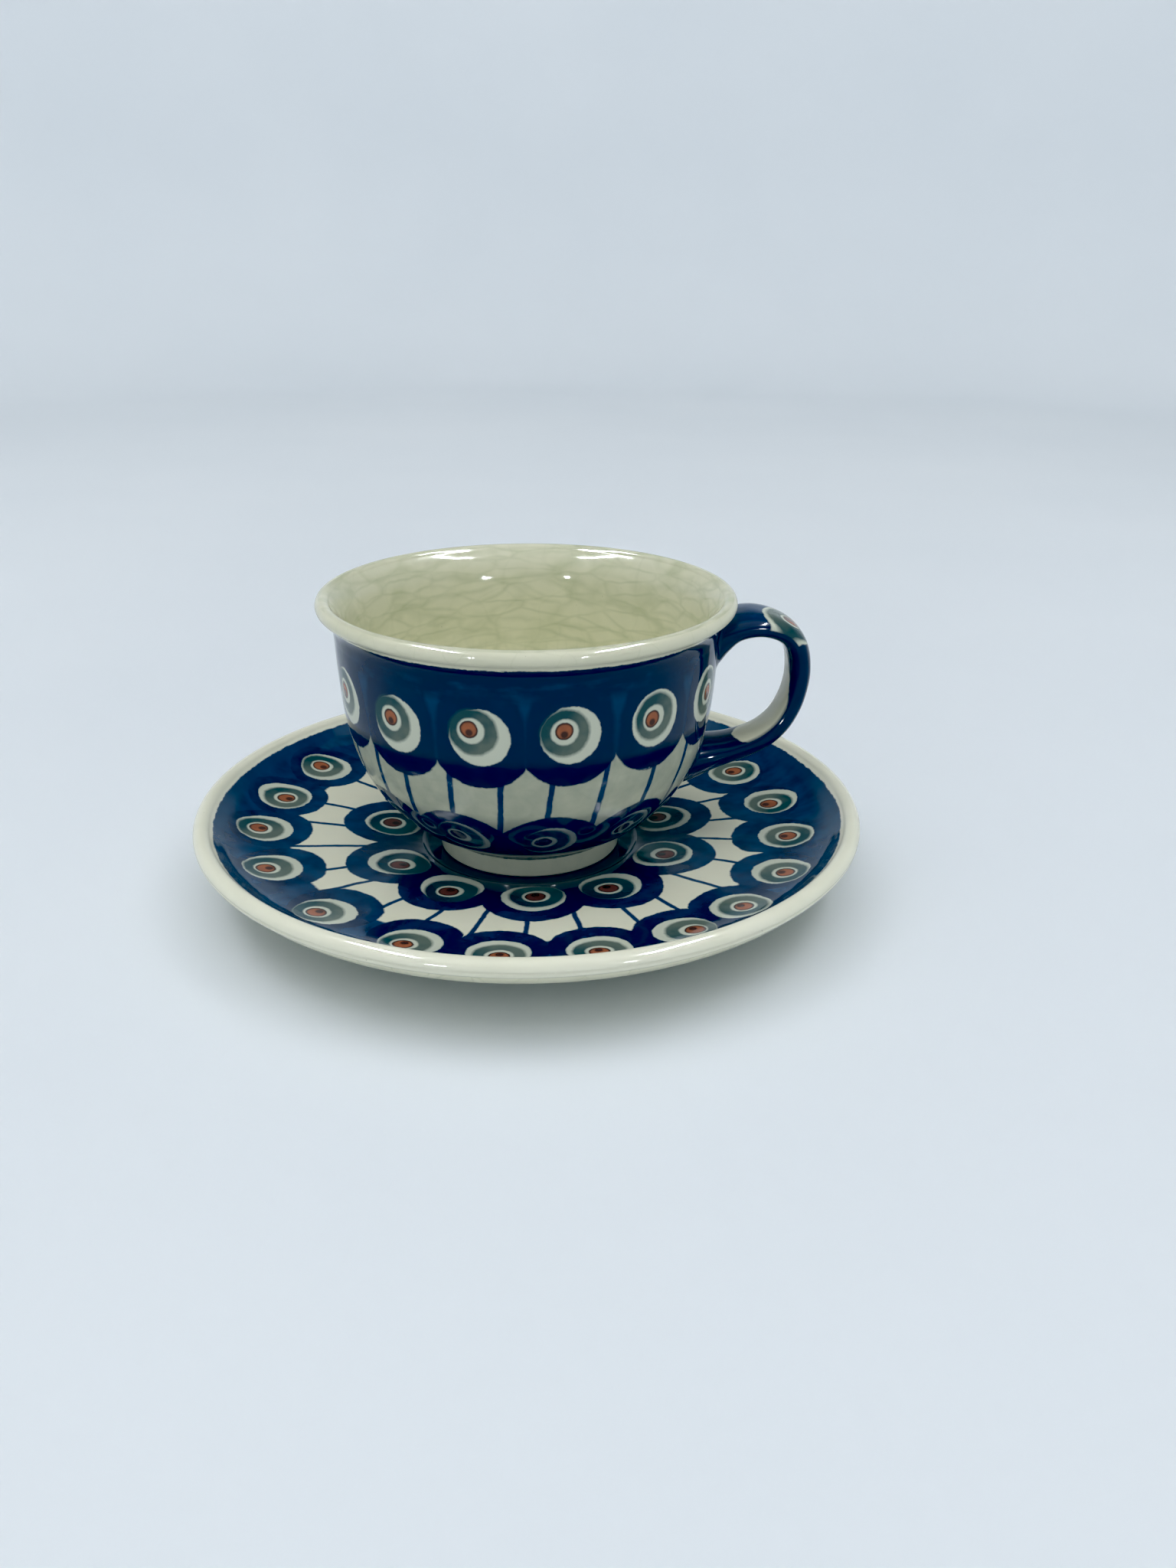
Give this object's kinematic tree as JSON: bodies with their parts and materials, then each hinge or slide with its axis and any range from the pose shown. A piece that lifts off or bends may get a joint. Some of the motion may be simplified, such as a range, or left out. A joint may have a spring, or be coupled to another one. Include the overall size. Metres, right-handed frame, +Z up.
{
  "type": "cup and saucer",
  "caption": "Round stoneware cup with a flared rolled rim and an ear-shaped strap handle, standing on a dished saucer with a rolled lip; glazed and painted in blue.",
  "frame": {"origin": "centre of the saucer on the surface that it stands on", "axes": "+Z up along the common axis of cup and saucer; +X towards the cup's handle; +Y away from the viewer's side"},
  "size_m": [0.16, 0.16, 0.0716],
  "materials": {
    "saucer_glaze": "glossy clear glaze over cream stoneware with blue stamped underglaze",
    "bowl_glaze": "glossy clear glaze over cream stoneware with blue stamped underglaze",
    "handle_glaze": "glossy cobalt blue underglaze",
    "slip_glaze": "glossy glaze pooled over smoothed slip"
  },
  "bodies": {
    "saucer": {"saucer": "saucer_glaze"},
    "cup": {"cup_bowl": "bowl_glaze", "handle": "handle_glaze", "handle_joint_upper": "slip_glaze", "handle_joint_lower": "slip_glaze"}
  },
  "joints": [
    {"name": "cup_lift", "type": "slide", "parent": "saucer", "child": "cup", "axis": [0, 0, 1], "range_m": [0, 0.1]}
  ]
}
